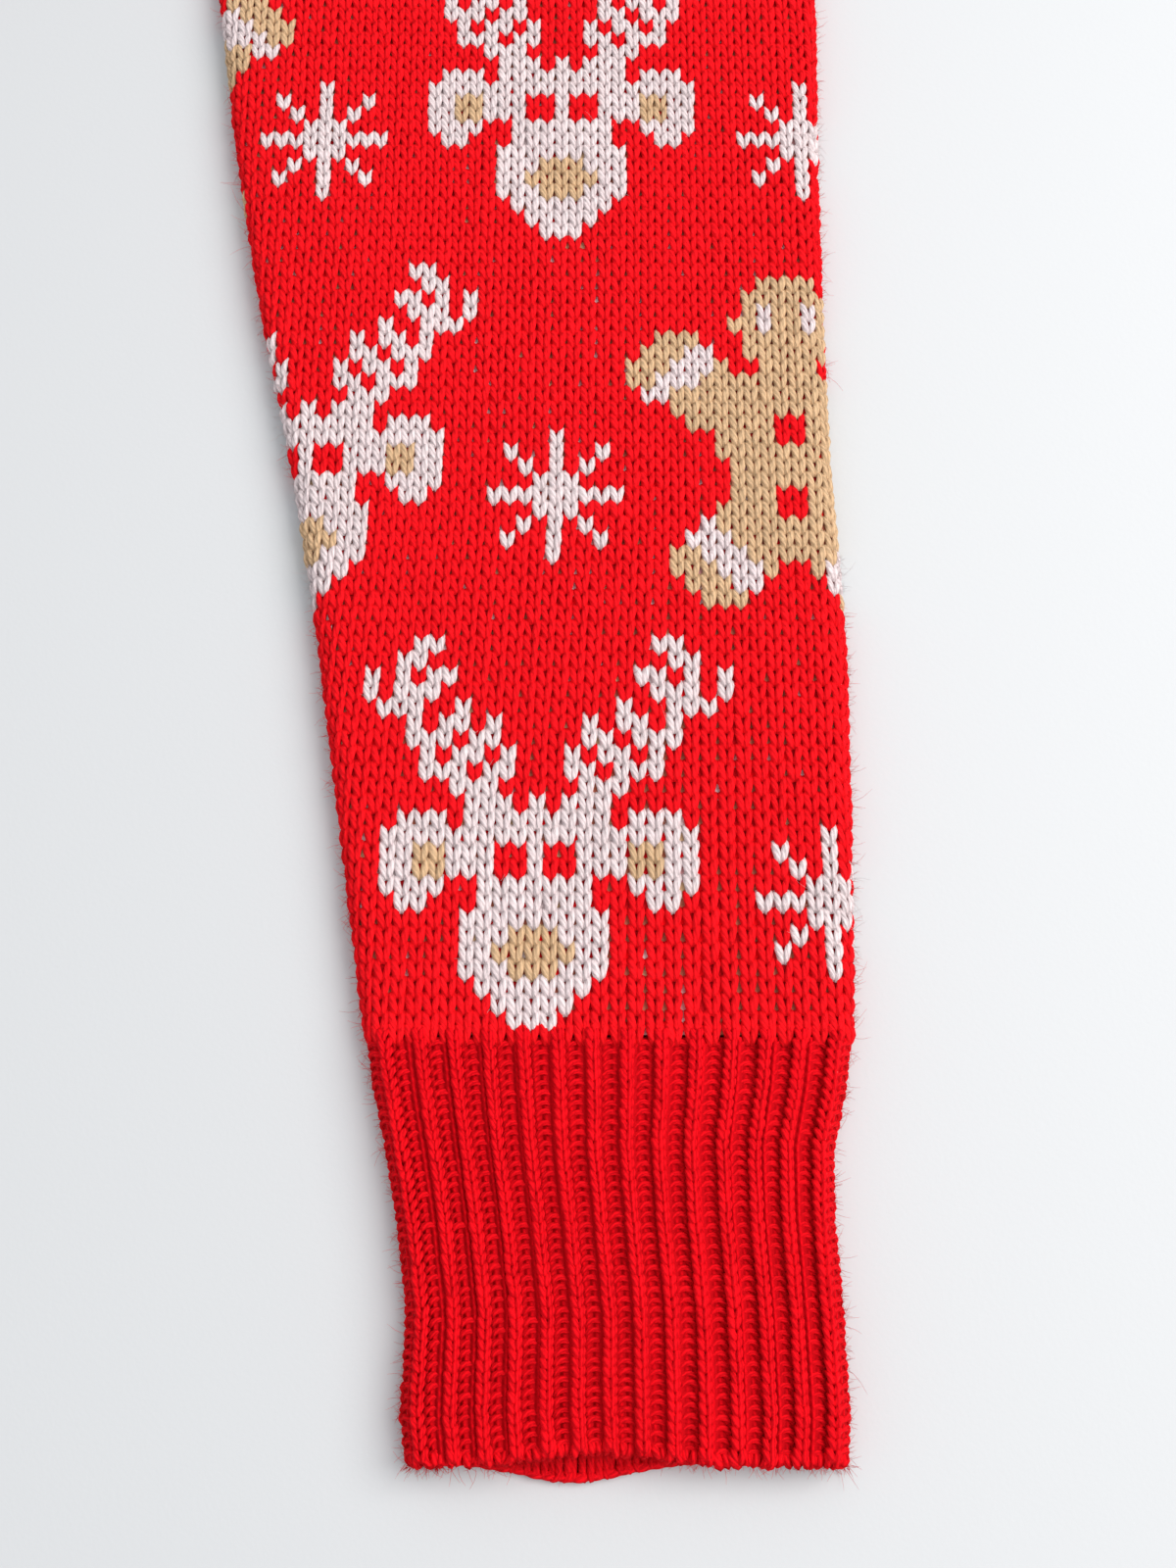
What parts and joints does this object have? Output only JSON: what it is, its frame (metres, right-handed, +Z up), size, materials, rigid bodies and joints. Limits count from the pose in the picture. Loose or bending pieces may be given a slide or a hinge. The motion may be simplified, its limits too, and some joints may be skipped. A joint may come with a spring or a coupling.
{
  "type": "knitted cardigan",
  "caption": "Red jacquard-knit V-neck cardigan with ribbed cuffs, hem and bands, buttoned and laid flat on its back, sleeves spread.",
  "frame": {"origin": "middle of the bounding box's lower face, on the surface that the garment lies on", "axes": "+X towards the wearer's left, +Y towards the neck, +Z up, away from the surface"},
  "size_m": [1.2804, 0.632, 0.0129],
  "materials": {
    "jacquard_knit": "soft acrylic jacquard stockinette in red with white and tan motifs, matt with a fine nap",
    "rib_knit": "one by one rib in red acrylic, matt with a fine nap",
    "button": "polished red plastic with four thread holes"
  },
  "bodies": {
    "root": {"back": "jacquard_knit", "front_left": "jacquard_knit", "front_right": "jacquard_knit", "sleeve_left": "jacquard_knit", "sleeve_right": "jacquard_knit", "hem_back": "rib_knit", "hem_front_left": "rib_knit", "hem_front_right": "rib_knit", "cuff_left": "rib_knit", "cuff_right": "rib_knit", "band_left": "rib_knit", "band_right": "rib_knit", "band_neck": "rib_knit", "button_1": "button", "button_2": "button", "button_3": "button", "button_4": "button", "button_5": "button"}
  },
  "joints": []
}
